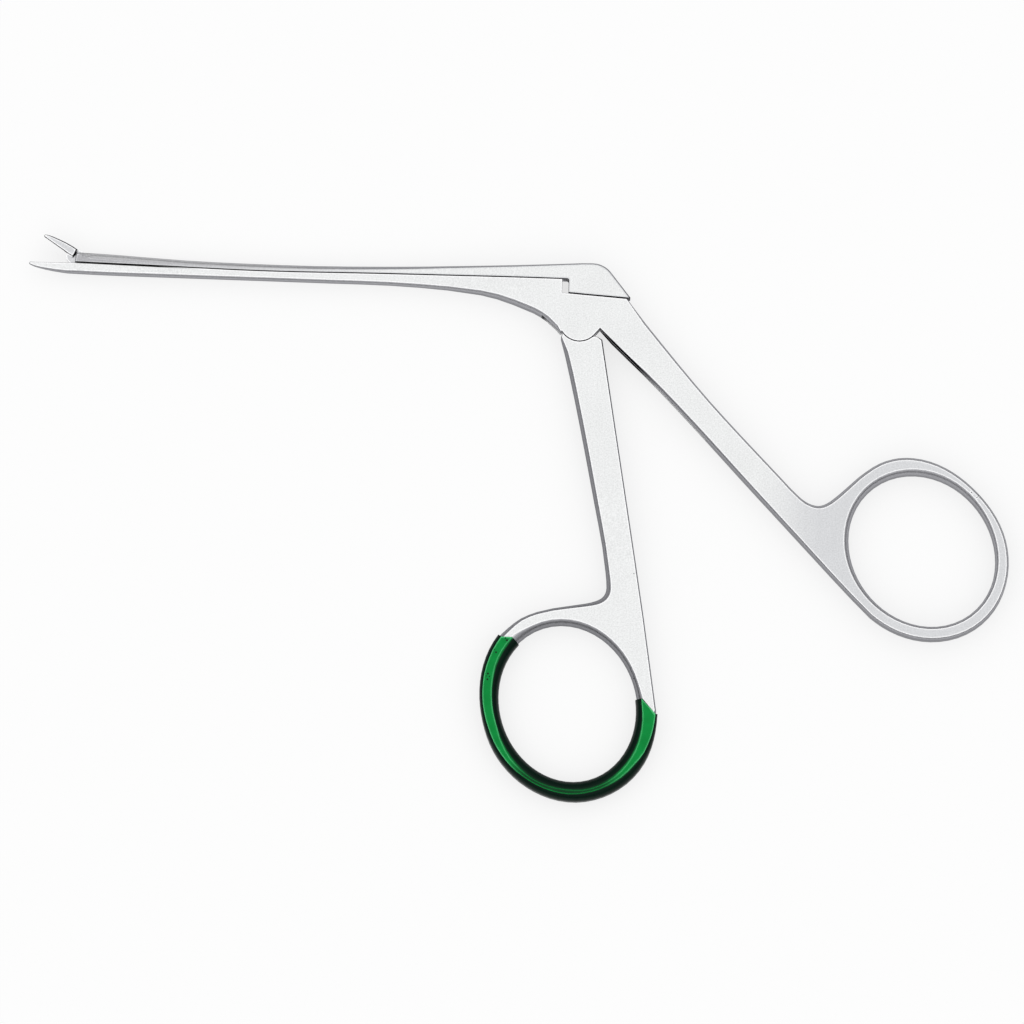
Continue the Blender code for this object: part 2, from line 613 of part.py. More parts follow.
def make_handle():
    """Rear ring, shank, hub, lower bar and lower jaw: one forging."""
    front = -JAW_PIVOT_REACH
    jaw_top = lower_bite_at(0)
    tip_x = front - JAW_LENGTH - LOWER_JAW_OVERHANG
    outline = []
    outline += arc_run((tip_x + JAW_TIP_RADIUS, jaw_top - JAW_TIP_RADIUS), JAW_TIP_RADIUS, 90, 240, 0.07, 6)
    under = [(front - a, jaw_top - d, f) for a, d, f in LOWER_JAW_UNDER]
    under += [(front * t, seat_at(front * t) - d, f) for t, d, f in BAR_DEPTH]
    under += list(HUB_UNDER)
    outline += smooth_run(under)
    outline += arc_run((0, 0), BOSS_RADIUS, BOSS_START, 315, 0.06, 16)
    outline.append((NOTCH[0], NOTCH[1], 0.08))
    ring_outer = (REAR_HOLE[0] + REAR_WALL[0], REAR_HOLE[1] + REAR_WALL[1])
    ring_centre = (REAR_RING[0] + REAR_SHIFT[0], REAR_RING[1] + REAR_SHIFT[1])
    lower_edge = along_shank(REAR_RING, REAR_UNDER)
    ring_part = ring_run(ring_centre, ring_outer, REAR_TILT, 236, 455, REAR_OUTER_ROUND, 40, REAR_DRESSING)
    upper_edge = from_ring(REAR_RING, reversed(REAR_NECK))
    upper_edge += along_shank(REAR_RING, reversed(REAR_OVER))
    slant = math.tan(math.radians(BLOCK_SLANT))
    corner = upper_edge[-1]
    corner_x = (slant * corner[0] + corner[1] - STEP_FOOT - HUB_TOP_FALL * STEP_X) / (slant - HUB_TOP_FALL)
    outline += smooth_run([(NOTCH[0], NOTCH[1], 0.08)] + lower_edge + [ring_part[0]], trail=ring_part[1])
    outline += ring_part
    outline += smooth_run([ring_part[-1]] + upper_edge, lead=ring_part[-2])
    outline.append((corner_x, hub_top_at(corner_x), 0.08))
    outline.append((STEP_X, hub_top_at(STEP_X), 0.05))
    outline.append((STEP_X, seat_at(STEP_X), 0.05))
    outline += seat_run(STEP_X, front - SEAT_END, 0.0, SHARP_EDGE, SEAT_POINTS)
    outline += smooth_run([(front - HEEL_START, jaw_top + 0.02, SHARP_EDGE), (front - HEEL_END, jaw_top, SHARP_EDGE)])
    hole = ring_run(REAR_RING, REAR_HOLE, REAR_TILT, 0, 360, REAR_INNER_ROUND, RING_POINTS)
    bm = plate_mesh(outline, [hole], shaft_half, shaft_stations())
    obj = make_object("handle_shaft_and_lower_jaw", bm)

    slot = TONGUE_HALF + SLOT_CLEARANCE
    add_boolean(obj, prism_mesh(arc_run(SAW_CENTRE, SAW_RADIUS, 0, 360, 0, 96), -slot, slot),
                "DIFFERENCE", "saw_slot")
    window = TONGUE_BOSS
    bm = box_mesh(STEP_X + WINDOW_MARGIN, window, 0.4, STEP_FOOT + 1.2, -slot, slot)
    add_boolean(obj, bm, "DIFFERENCE", "window_slot")
    add_boolean(obj, pin_mesh((0, 0), PIVOT_PIN_RADIUS + PIN_SEAT, 4.0, 40), "DIFFERENCE", "pivot_bore")

    tang = TANG_HALF + TANG_CLEARANCE
    floor = JAW_PIVOT_HEIGHT - TANG_RADIUS - 2 * TANG_CLEARANCE
    neck = max(a for a, _ in NECK_FRONT) + 3 * TANG_CLEARANCE
    rear = link_place()[0] + TANG_RADIUS + 2 * TANG_CLEARANCE
    points = [(front - neck, floor + 0.28), (front - 0.9, floor), (rear, floor),
              (rear, JAW_PIVOT_HEIGHT + 3), (front - neck, JAW_PIVOT_HEIGHT + 3)]
    add_boolean(obj, prism_mesh(points, -tang, tang), "DIFFERENCE", "tang_slot")
    pivot = (front, JAW_PIVOT_HEIGHT)
    add_boolean(obj, pin_mesh(pivot, JAW_PIN_RADIUS + PIN_SEAT, 4.0, 24), "DIFFERENCE", "jaw_bore")

    foot_rear, foot_front = foot_span()
    seat = seat_at(foot_rear)
    deep = seat + SLIDE_GAP - FOOT_NECK
    bottom = deep - FOOT_HEAD - FOOT_CLEARANCE
    neck_half = FOOT_NECK_HALF + FOOT_CLEARANCE
    head_half = FOOT_HEAD_HALF + FOOT_CLEARANCE
    reach = foot_front - TRAVEL - 0.15
    back = foot_rear + 0.15
    entry = back + FOOT_LENGTH + 0.3
    add_boolean(obj, box_mesh(reach, back + 0.1, deep - 0.1, seat + 1, -neck_half, neck_half),
                "DIFFERENCE", "foot_neck_slot")
    add_boolean(obj, box_mesh(reach, back + 0.1, bottom, deep + FOOT_CLEARANCE, -head_half, head_half),
                "DIFFERENCE", "foot_head_slot")
    add_boolean(obj, box_mesh(back, entry, bottom, seat + 1, -head_half, head_half),
                "DIFFERENCE", "foot_entry")
    teeth = tooth_mesh(TOOTH_FIRST, JAW_LENGTH - 0.1, lambda a: BITE_LIFT - BITE_GAP, -1)
    add_boolean(obj, teeth, "DIFFERENCE", "teeth", pivot, 0.0, True)
    finish(obj, steel("satin_steel_forging", (0.62, 0.62, 0.61), 0.34))
    return obj


def make_lever():
    """Front ring, shank and tongue: the squeezed half of the grip."""
    ring_outer = (FRONT_HOLE[0] + FRONT_WALL[0], FRONT_HOLE[1] + FRONT_WALL[1])
    ring_centre = (FRONT_RING[0] + FRONT_SHIFT[0], FRONT_RING[1] + FRONT_SHIFT[1])
    front_edge = along_shank(FRONT_RING, LEVER_FRONT)
    neck = from_ring(FRONT_RING, LEVER_NECK)
    back = from_ring(FRONT_RING, [(*spot, LEVER_BACK_ROUND) for spot in (LEVER_BACK_FOOT, LEVER_BACK_MIDDLE)])
    shoulder = BOSS_RADIUS + SHOULDER_GAP
    outline = arc_run((0, 0), shoulder, 312, BOSS_START + 4, 0.06, 16)
    ring_part = ring_run(ring_centre, ring_outer, FRONT_TILT, 140, 355, FRONT_OUTER_ROUND, 37, FRONT_DRESSING)
    outline += smooth_run(front_edge + neck + [ring_part[0]], trail=ring_part[1])
    outline += ring_part
    outline += smooth_run(back + [(*LEVER_BACK_TOP, LEVER_BACK_ROUND)], 12.0)
    outline.append((LEVER_BACK_TOP[0] - 0.75, LEVER_BACK_TOP[1] + 0.42, 0.08))
    hole = ring_run(FRONT_RING, FRONT_HOLE, FRONT_TILT, 0, 360, FRONT_INNER_ROUND, RING_POINTS)
    stations = [("Y", -20.0 - 22.0 * i / 4) for i in range(5)]
    bm = plate_mesh(outline, [hole], lever_half, stations)
    obj = make_object("finger_lever", bm)

    drive = (DRIVE_ARM * math.sin(math.radians(LEVER_SWING / 2)), DRIVE_ARM * math.cos(math.radians(LEVER_SWING / 2)))
    lean = math.degrees(math.asin((TONGUE_BOSS - TONGUE_TIP) / DRIVE_ARM))
    up = 90 - LEVER_SWING / 2
    points = arc_run(drive, TONGUE_TIP, up - 90 + lean, up + 90 - lean, 0, 12)
    points += arc_run((0, 0), TONGUE_BOSS, up + 90 - lean, 200, 0, 6)
    points += [(-1.35, -TONGUE_ROOT, 0), (2.75, -TONGUE_ROOT, 0)]
    points += arc_run((0, 0), TONGUE_BOSS, -20, up - 90 + lean, 0, 4)
    add_boolean(obj, prism_mesh(points, -TONGUE_HALF, TONGUE_HALF), "UNION", "tongue")
    add_boolean(obj, pin_mesh((0, 0), PIVOT_PIN_RADIUS + PIN_RUNNING, 4.0, 40), "DIFFERENCE", "pivot_bore")
    add_boolean(obj, pin_mesh(drive, DRIVE_PIN_RADIUS + PIN_RUNNING, 4.0, 32), "DIFFERENCE", "drive_bore")
    finish(obj, steel("satin_steel_lever", (0.62, 0.62, 0.61), 0.34))
    return obj


def coat_section(out_dir, in_dir, skin, half, out_round, in_round):
    """One closed section round the ring bar, from its outer side over the top and under."""
    ring_outer = (FRONT_HOLE[0] + FRONT_WALL[0], FRONT_HOLE[1] + FRONT_WALL[1])
    ring_centre = (FRONT_RING[0] + FRONT_SHIFT[0], FRONT_RING[1] + FRONT_SHIFT[1])
    outer, outer_normal = ellipse_point(ring_centre, ring_outer, FRONT_TILT, out_dir)
    dress = read_table(FRONT_DRESSING, out_dir)
    outer = (outer[0] + outer_normal[0] * dress, outer[1] + outer_normal[1] * dress)
    inner, inner_normal = ellipse_point(FRONT_RING, FRONT_HOLE, FRONT_TILT, in_dir)
    upper = []
    for point, normal, way, rounding, order in (
            (outer, outer_normal, 1, out_round, -1),
            (inner, inner_normal, -1, in_round, 1)):
        for inset, z in edge_profile(rounding, half)[::order]:
            shift = way * (skin - inset)
            upper.append((point[0] + normal[0] * shift, point[1] + normal[1] * shift, z))
    lower = [(x, y, -z) for x, y, z in reversed(upper)]
    return upper + lower


def make_coat():
    """Coloured coat round the lower part of the front ring."""
    bm = bmesh.new()
    skins = []
    bar = RING_BAR_HALF
    for inside in (False, True):
        rows = []
        for i in range(COAT_STATIONS + 1):
            t = i / COAT_STATIONS
            out_dir = COAT_OUTER[0] + (COAT_OUTER[1] - COAT_OUTER[0]) * t
            in_dir = COAT_INNER[0] + (COAT_INNER[1] - COAT_INNER[0]) * t
            if inside:
                in_round = read_table(FRONT_INNER_ROUND, in_dir % 360)
                out_round = read_table(FRONT_OUTER_ROUND, out_dir)
                section = coat_section(out_dir, in_dir, COAT_GAP, bar + COAT_GAP, out_round, in_round)
            else:
                skin = COAT_GAP + COAT_THICKNESS
                section = coat_section(out_dir, in_dir, skin, bar + COAT_THICKNESS,
                                       read_table(COAT_OUTER_ROUND, out_dir),
                                       read_table(COAT_INNER_ROUND, in_dir))
            rows.append([bm.verts.new(p) for p in section])
        skins.append(rows)
        for a, b in zip(rows, rows[1:]):
            for i in range(len(a)):
                j = (i + 1) % len(a)
                bm.faces.new((a[i], a[j], b[j], b[i]))
    for end in (0, -1):
        outside = skins[0][end]
        inside = skins[1][end]
        for i in range(len(outside)):
            j = (i + 1) % len(outside)
            bm.faces.new((outside[i], outside[j], inside[j], inside[i]))
    bmesh.ops.recalc_face_normals(bm, faces=bm.faces[:])
    obj = make_object("finger_ring_coat", bm)
    finish(obj, enamel("green_coat", (0.01, 0.27, 0.06), 0.28))
    return obj


def make_slider():
    """Upper bar of the shaft with its block over the hub and its forked nose."""
    front = -JAW_PIVOT_REACH
    shoulder_x = STEP_X + TRAVEL + STOP_GAP
    nose_x = front - BLADE_ROOT + TRAVEL + NOSE_GAP
    drive = drive_place()
    rows = [(front * t, seat_at(front * t) + SLIDE_GAP + d, f) for t, d, f in SLIDER_DEPTH]
    slant = math.tan(math.radians(BLOCK_SLANT))
    fillet = BLOCK_CORNER_RADIUS * math.tan(math.radians(BLOCK_SLANT / 2))
    arc_centre = (BLOCK_CORNER_X - fillet, BLOCK_TOP - BLOCK_CORNER_RADIUS)
    rows.append((arc_centre[0] - 1.6, BLOCK_TOP - 0.04, BLOCK_ROUND))
    top = rows[0][1]
    heel_y = STEP_FOOT + BLOCK_GAP
    heel_x = (slant * BLOCK_CORNER_X + BLOCK_TOP - heel_y - HUB_TOP_FALL * STEP_X) / (slant - HUB_TOP_FALL)
    outline = arc_run((nose_x + NOSE_RADIUS, top - NOSE_RADIUS + 0.02), NOSE_RADIUS, 180, 100, 0.24, 4)
    outline += smooth_run(rows)
    outline += arc_run(arc_centre, BLOCK_CORNER_RADIUS, 90, 90 - BLOCK_SLANT, BLOCK_ROUND, 9)
    outline.append((heel_x - 0.08, hub_top_at(heel_x) + BLOCK_GAP + 0.10, BLOCK_ROUND))
    outline.append((heel_x - 0.12, hub_top_at(heel_x) + BLOCK_GAP, 0.06))
    outline.append((shoulder_x, hub_top_at(shoulder_x) + BLOCK_GAP, 0.06))
    corner = (shoulder_x - SHOULDER_ROUND, seat_at(shoulder_x) + SLIDE_GAP - SHOULDER_ROUND)
    outline += arc_run(corner, SHOULDER_ROUND, 0, 90, SHARP_EDGE, 4)
    outline += seat_run(shoulder_x - 2 * SHOULDER_ROUND, nose_x, SLIDE_GAP, SHARP_EDGE, SEAT_POINTS)
    bm = plate_mesh(outline, [], slider_half, shaft_stations())
    obj = make_object("slider_bar", bm, drive)

    slot = TONGUE_HALF + SLOT_CLEARANCE
    right = drive[0] + TONGUE_BOSS + 0.05
    bm = box_mesh(shoulder_x - 0.7, right, STEP_FOOT - 1.5, drive[1] + TONGUE_TIP + BLOCK_SLOT_MARGIN,
                  -slot, slot)
    add_boolean(obj, bm, "DIFFERENCE", "tongue_slot")
    add_boolean(obj, pin_mesh(drive, DRIVE_PIN_RADIUS + PIN_SEAT, 4.0, 32), "DIFFERENCE", "drive_bore")
    link = link_place()
    tang = TANG_HALF + TANG_CLEARANCE
    bm = box_mesh(nose_x - 1, link[0] + FORK_MARGIN, SEAT_HEIGHT - 2, BLOCK_TOP + 1, -tang, tang)
    add_boolean(obj, bm, "DIFFERENCE", "fork_slot")
    add_boolean(obj, pin_mesh(link, LINK_PIN_RADIUS + PIN_SEAT, 4.0, 24), "DIFFERENCE", "link_bore")
    foot_rear, foot_front = foot_span()
    seat = seat_at(foot_rear)
    deep = seat + SLIDE_GAP - FOOT_NECK
    bm = box_mesh(foot_front, foot_rear, deep - 0.05, seat + 0.5, -FOOT_NECK_HALF, FOOT_NECK_HALF)
    add_boolean(obj, bm, "UNION", "foot_neck")
    bm = box_mesh(foot_front, foot_rear, deep - FOOT_HEAD, deep, -FOOT_HEAD_HALF, FOOT_HEAD_HALF)
    add_boolean(obj, bm, "UNION", "foot_head")
    finish(obj, steel("satin_steel_slider", (0.62, 0.62, 0.61), 0.34))
    return obj


def make_upper_jaw():
    """Toothed blade with the thin tang that carries both of its pins."""
    pivot = (-JAW_PIVOT_REACH, JAW_PIVOT_HEIGHT)
    outline = [(-a, b, f) for a, b, f in smooth_run(list(BLADE_BACK), 0.8)]
    tip = (-JAW_LENGTH + JAW_TIP_RADIUS, BITE_LIFT + JAW_TIP_RADIUS)
    outline += arc_run(tip, JAW_TIP_RADIUS, 118, 262, 0.07, 8)
    outline.append((-BLADE_ROOT - 0.35, BITE_LIFT, 0.05))
    outline.append((-BLADE_ROOT, BITE_LIFT + 0.12, 0.05))
    stations = [("X", -BLADE_ROOT - (JAW_LENGTH - BLADE_ROOT) * i / 4) for i in range(1, 4)]
    bm = plate_mesh(outline, [], blade_half, stations)
    obj = make_object("upper_jaw", bm, pivot, -JAW_SWING, True)
    bm = prism_mesh(tang_points(0.0), -TANG_HALF, TANG_HALF)
    add_boolean(obj, bm, "UNION", "tang", pivot, -JAW_SWING, True)
    bm = pin_mesh((0, 0), JAW_PIN_RADIUS + JAW_RUNNING, 4.0, 24)
    add_boolean(obj, bm, "DIFFERENCE", "pivot_bore", pivot, -JAW_SWING, True)
    half_swing = math.radians(JAW_SWING / 2)
    link = (-LINK_ARM * math.sin(half_swing), LINK_ARM * math.cos(half_swing))
    bm = pin_mesh(link, LINK_PIN_RADIUS + LINK_RUNNING, 4.0, 24)
    add_boolean(obj, bm, "DIFFERENCE", "link_bore", pivot, -JAW_SWING, True)
    teeth = tooth_mesh(TOOTH_FIRST + TOOTH_PITCH / 2, JAW_LENGTH - 0.35, lambda a: BITE_LIFT, 1)
    add_boolean(obj, teeth, "DIFFERENCE", "teeth", pivot, -JAW_SWING, True)
    finish(obj, steel("satin_steel_jaw", (0.60, 0.60, 0.59), 0.34))
    return obj


def make_pin(name, centre, radius, half, segments):
    """Pin with its ends flush, its origin on its own axis."""
    obj = make_object(name, pin_mesh(centre, radius, half, segments), centre)
    finish(obj, steel(name + "_steel", (0.60, 0.60, 0.59), 0.30))
    return obj


def make_pins():
    jaw = (-JAW_PIVOT_REACH, JAW_PIVOT_HEIGHT)
    make_pin("lever_pivot_pin", (0, 0), PIVOT_PIN_RADIUS, HUB_HALF, 40)
    make_pin("drive_pin", drive_place(), DRIVE_PIN_RADIUS, HUB_HALF, 32)
    make_pin("jaw_pivot_pin", jaw, JAW_PIN_RADIUS, shaft_half(*jaw) - 0.01, 24)
    make_pin("jaw_link_pin", link_place(), LINK_PIN_RADIUS, LINK_PIN_HALF, 24)


def settle():
    """Move the frame so that the origin is under the middle of the instrument's box."""
    bpy.context.view_layer.update()
    graph = bpy.context.evaluated_depsgraph_get()
    corners = []
    for obj in bpy.data.objects:
        if obj.type == "MESH" and not obj.hide_render:
            shape = obj.evaluated_get(graph)
            corners += [shape.matrix_world @ v.co for v in shape.data.vertices]
    low = [min(c[i] for c in corners) for i in range(3)]
    high = [max(c[i] for c in corners) for i in range(3)]
    FRAME.location = (-(low[0] + high[0]) / 2, -(low[1] + high[1]) / 2, -low[2])


for old in list(bpy.data.objects):
    bpy.data.objects.remove(old)

FRAME = bpy.data.objects.new("forceps_frame", None)
bpy.context.scene.collection.objects.link(FRAME)

make_handle()
make_lever()
make_coat()
make_slider()
make_upper_jaw()
make_pins()
settle()
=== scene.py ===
"""Dressed scene of a pair of ear forceps, lying on its side on a pale table."""

import json
import math

import bmesh
import bpy
from mathutils import Matrix, Vector
from mathutils.bvhtree import BVHTree

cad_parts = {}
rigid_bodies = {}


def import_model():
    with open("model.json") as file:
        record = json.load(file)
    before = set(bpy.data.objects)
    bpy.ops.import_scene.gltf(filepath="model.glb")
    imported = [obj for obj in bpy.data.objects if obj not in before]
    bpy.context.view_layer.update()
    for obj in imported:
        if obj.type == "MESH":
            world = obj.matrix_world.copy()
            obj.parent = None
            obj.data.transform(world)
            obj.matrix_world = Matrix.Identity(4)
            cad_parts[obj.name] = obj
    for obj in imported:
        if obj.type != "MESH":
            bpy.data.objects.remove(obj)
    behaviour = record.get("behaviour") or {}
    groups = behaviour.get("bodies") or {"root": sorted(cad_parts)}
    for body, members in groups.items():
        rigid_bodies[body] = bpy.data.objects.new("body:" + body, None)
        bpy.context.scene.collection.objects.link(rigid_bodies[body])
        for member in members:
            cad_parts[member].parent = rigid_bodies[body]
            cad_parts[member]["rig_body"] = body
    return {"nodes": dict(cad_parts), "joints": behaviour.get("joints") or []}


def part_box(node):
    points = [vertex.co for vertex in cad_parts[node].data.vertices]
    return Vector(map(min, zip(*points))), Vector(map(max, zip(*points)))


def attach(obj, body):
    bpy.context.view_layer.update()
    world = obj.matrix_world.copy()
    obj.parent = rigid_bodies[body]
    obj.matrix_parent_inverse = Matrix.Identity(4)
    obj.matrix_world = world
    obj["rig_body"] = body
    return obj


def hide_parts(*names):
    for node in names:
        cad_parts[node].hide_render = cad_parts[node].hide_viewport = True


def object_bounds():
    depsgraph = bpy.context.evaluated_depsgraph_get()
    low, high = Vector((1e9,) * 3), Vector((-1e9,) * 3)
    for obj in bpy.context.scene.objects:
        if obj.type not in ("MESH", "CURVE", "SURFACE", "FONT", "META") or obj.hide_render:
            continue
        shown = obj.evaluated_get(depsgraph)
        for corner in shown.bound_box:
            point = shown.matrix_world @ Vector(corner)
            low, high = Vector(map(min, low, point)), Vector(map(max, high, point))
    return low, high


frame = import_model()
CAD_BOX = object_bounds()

bl_info = {
    "name": "Ear forceps",
    "version": (1, 0, 0),
    "blender": (4, 5, 0),
    "location": "3D View > Sidebar > Forceps",
    "description": "Finishes the pieces of the ear forceps and sets the table, light and camera",
    "category": "Object",
}

MM = 0.001
PIVOT = Vector(next(j["pos_m"] for j in frame["joints"] if j["name"] == "lever_pivot"))

# Small marks of use, in millimetres from the lever pivot. Pits and specks are (x, y, radius).
COAT_PITS = ((-9.34, -48.82, 0.20), (-9.60, -48.50, 0.14), (-10.93, -50.69, 0.18), (-11.20, -50.30, 0.12),
             (-12.04, -53.97, 0.20), (-12.10, -54.83, 0.18), (-11.79, -54.37, 0.14), (-12.30, -54.35, 0.12))
LEVER_SPECKS = ((9.46, -38.09, 0.11), (9.97, -53.89, 0.11))
HANDLE_SPECKS = ((32.45, -30.64, 0.11),)
RING_SCORE = ((60.73, -24.85), (61.03, -24.69), (61.61, -24.93))
RING_DASH = ((59.88, -24.02), (60.22, -24.26))
SCORE_WIDTH = 0.18
SCORE_DEPTH = 0.14
PIN_NODES = ("lever_pivot_pin", "drive_pin", "jaw_pivot_pin", "jaw_link_pin")
PIN_MARGIN = 0.5

# Painted shadow in narrow gaps and corners, in millimetres from the pivot: both ends, then the width.
SLIDER_SEAM = (-76.44, 6.50, -57.54, 6.17, 0.19)
REAR_SAW_CUT = (3.20, -1.18, 12.10, -9.45, 0.17)
HUB_SAW_CUT = (-5.70, 0.62, -2.90, -1.92, 0.14)
JAW_ROOT = (-76.86, 7.27, -76.11, 8.45, 0.17)

# Stretches along which a face loses its brightness, in millimetres before or behind the pivot.
RING_DULLING = (27.0, 38.0)
SLIDER_DULLING = (-25.0, -66.0)

# Middle line of the front ring, and how far the inner and outer edges of its face were rounded
# towards that line, by direction in degrees.
RING_CENTRE = (0.06, -58.08)
RING_MIDDLE = (13.55, 11.78)
RING_TILT = -71.0
RING_REACH = 2.4
RING_DRAWN = (
    (116, 0.00, 0.00), (135, 0.50, 0.22), (150, 0.45, 0.16), (165, 0.20, 0.05), (180, 0.08, 0.00),
    (200, 0.00, 0.06), (212, 0.24, 0.00), (226, 0.45, 0.00), (245, 0.40, 0.10), (270, 0.16, 0.14),
    (288, 0.36, 0.34), (303, 0.44, 0.48), (316, 0.38, 0.46), (330, 0.32, 0.12), (345, 0.18, 0.06),
    (360, 0.00, 0.00),
)
# Direction of the front ring's foot, where its face takes painted shade.
FOOT_SHADE_WAY = 268.0

# Upright part of the normal between which a flank turns into a face, and at which a face is flat.
FACE_UPRIGHT = (0.90, 0.98)
FLAT_UPRIGHT = 0.985
CORNER_LIMIT = math.radians(34)

# Agreement of the rounded and the plain normal at which a rim line starts and is full.
FLANK_RIM = (0.996, 0.972)
FACE_RIM = (0.9996, 0.994)

GRINDING_TURN = math.radians(50)
NOISE_LOW = 0.3
NOISE_HIGH = 0.7
TABLE_HALF = 6.0

# Framing of the photograph: millimetres per pixel, half its width, and where the lever's pivot is.
PIXEL = 0.151
HALF_PICTURE = 512
PIVOT_COLUMN = 579.5
PIVOT_ROW = 320.7


def linear(code):
    """Linear colour of an sRGB hex value, with an alpha of one."""
    values = [int(code[i:i + 2], 16) / 255 for i in (1, 3, 5)]
    return tuple(v / 12.92 if v <= 0.04045 else ((v + 0.055) / 1.055) ** 2.4 for v in values) + (1.0,)


def size_setting(name, description, millimetres):
    """A length that the user can change."""
    return bpy.props.FloatProperty(name=name, description=description, default=millimetres * MM,
                                   min=0.0, precision=6, unit="LENGTH")


def colour_setting(name, description, code):
    """A colour that the user can change."""
    return bpy.props.FloatVectorProperty(name=name, description=description, default=linear(code),
                                         size=4, min=0.0, max=1.0, subtype="COLOR")


def share_setting(name, description, value):
    """A share from nothing to all that the user can change."""
    return bpy.props.FloatProperty(name=name, description=description, default=value,
                                   min=0.0, max=1.0, subtype="FACTOR")


class ForcepsFinish(bpy.types.PropertyGroup):
    """Sizes and colours of the finishes."""

    face_steel: colour_setting("Face steel", "Steel on the ground and blasted faces", "#DFE0E0")
    # The flank colours below are painted shade: darker steel laid on the flanks by the direction of their
    # normal.
    shaded_flank_steel: colour_setting("Flank steel", "Steel on the filed flanks, which are darker", "#AEAEB2")
    shaded_lever_flank: colour_setting("Lever flank", "Steel on the lever's flanks", "#98989C")
    shaded_jaw_flank: colour_setting("Jaw flank", "Steel on the jaw's flanks", "#5C5C60")
    slider_steel: colour_setting("Slider steel", "Steel on the slider's flanks near the jaws", "#C6C6C8")
    dull_steel: colour_setting("Dull steel", "Steel of the rear ring, dulled by the thumb", "#CBCCCE")
    rubbed_slider: colour_setting("Rubbed slider", "Steel of the slider's front, dulled by use", "#AAAAAD")
    # Painted shadow in the seams and gaps between parts.
    seam_shadow: colour_setting("Grease", "Blackened grease in the seam under the slider", "#0C0C0E")
    # Painted highlight along a face's edge, and painted shade just over the edge on the flank.
    rim_highlight_steel: colour_setting("Rubbed steel", "Steel polished by wear along a face's edge", "#F4F4F5")
    rim_shade_steel: colour_setting("Sooty steel", "Steel over the edge, where polish has gathered", "#46464A")
    face_green: colour_setting("Face green", "Lacquer where it lies thin over the bright face", "#018539")
    # Painted shade: nearly black green on the flanks.
    shaded_flank_green: colour_setting("Flank green", "Lacquer where it has run thick on the flanks", "#01180F")
    # Painted highlight: lighter green along the face's edges.
    rim_highlight_green: colour_setting("Rim green", "Lacquer drawn thinnest over the face's edge", "#52BE7A")
    foot_shade_green: colour_setting("Thick green", "Lacquer where it gathered at the foot of the ring", "#0A3C1E")
    # Painted shade of the face at the foot of the ring.
    pit: colour_setting("Pit", "Dirt in the pits and specks", "#0A1F14")
    grain: size_setting("Blast grain", "Width of the dimples that the blasting left", 0.22)
    scratch: size_setting("Grinding line", "Spacing of the faint lines that grinding left", 0.3)
    smudge: size_setting("Handling marks", "Width of the faint marks that handling left", 7.0)
    # Width of the painted highlight line along a face's edge.
    rim: size_setting("Rubbed rim", "Width of the rubbed line along a face's edge", 0.34)
    rivet_spread: size_setting("Rivet spread", "How far a pin's ends are spread to fill its bore", 0.024)
    rivet_head: size_setting("Rivet head", "Depth of a pin's spread ends", 0.22)
    steel_roughness: share_setting("Steel roughness", "How matt the blasted steel is", 0.36)
    lacquer_roughness: share_setting("Lacquer roughness", "How matt the lacquer is", 0.3)


class ForcepsStage(bpy.types.PropertyGroup):
    """Table, light and camera."""

    table: colour_setting("Table", "Pale table top", "#F4F4F4")
    overhead: bpy.props.FloatProperty(name="Overhead light", description="Strength of the soft light above",
                                      default=1.22, min=0.0)
    surround: bpy.props.FloatProperty(name="Surround light", description="Strength of the light at the sides",
                                      default=0.22, min=0.0)
    haze: share_setting("Table haze", "How far the seen table is lifted to plain white", 0.74)
    tilt: bpy.props.FloatProperty(name="Camera tilt", description="How far the camera leans to the ring side",
                                  default=math.radians(6.0), subtype="ANGLE")
    roll: bpy.props.FloatProperty(name="Camera roll", description="Turn of the picture about its centre",
                                  default=math.radians(1.907), subtype="ANGLE")
    distance: bpy.props.FloatProperty(name="Camera distance", description="From the camera to the object",
                                      default=3.0, min=0.1, unit="LENGTH")


def add_node(tree, kind, inputs=None, **settings):
    """Add a node; an input given as a socket is linked, any other value is set on it."""
    node = tree.nodes.new(kind)
    for name, value in settings.items():
        setattr(node, name, value)
    for key, value in (inputs or {}).items():
        if isinstance(value, bpy.types.NodeSocket):
            tree.links.new(value, node.inputs[key])
        else:
            node.inputs[key].default_value = value
    return node


def start_material(name):
    """Empty node material with its output, and the place on the piece."""
    material = bpy.data.materials.get(name)
    if material:
        bpy.data.materials.remove(material)
    material = bpy.data.materials.new(name)
    material.use_nodes = True
    tree = material.node_tree
    tree.nodes.clear()
    place = add_node(tree, "ShaderNodeTexCoord").outputs["Object"]
    return material, tree, place


def face_share(tree, low, high):
    """One on the flat faces, nothing on the flanks."""
    normal = add_node(tree, "ShaderNodeNewGeometry").outputs["Normal"]
    z = add_node(tree, "ShaderNodeSeparateXYZ", {0: normal}).outputs["Z"]
    upright = add_node(tree, "ShaderNodeMath", {0: z}, operation="ABSOLUTE").outputs[0]
    return add_node(tree, "ShaderNodeMapRange", {0: upright, 1: low, 2: high, 3: 0.0, 4: 1.0},
                    interpolation_type="SMOOTHSTEP").outputs[0]


def mix_colour(tree, share, first, second):
    """Blend of two colours."""
    return add_node(tree, "ShaderNodeMix", {0: share, 6: first, 7: second}, data_type="RGBA").outputs[2]


def noise_range(tree, noise, low, high):
    """The middle of a noise spread over a range of values."""
    return add_node(tree, "ShaderNodeMapRange", {0: noise.outputs["Fac"], 1: NOISE_LOW, 2: NOISE_HIGH,
                                                 3: low, 4: high}).outputs[0]


def product(tree, first, second):
    """Two values multiplied."""
    return add_node(tree, "ShaderNodeMath", {0: first, 1: second}, operation="MULTIPLY").outputs[0]


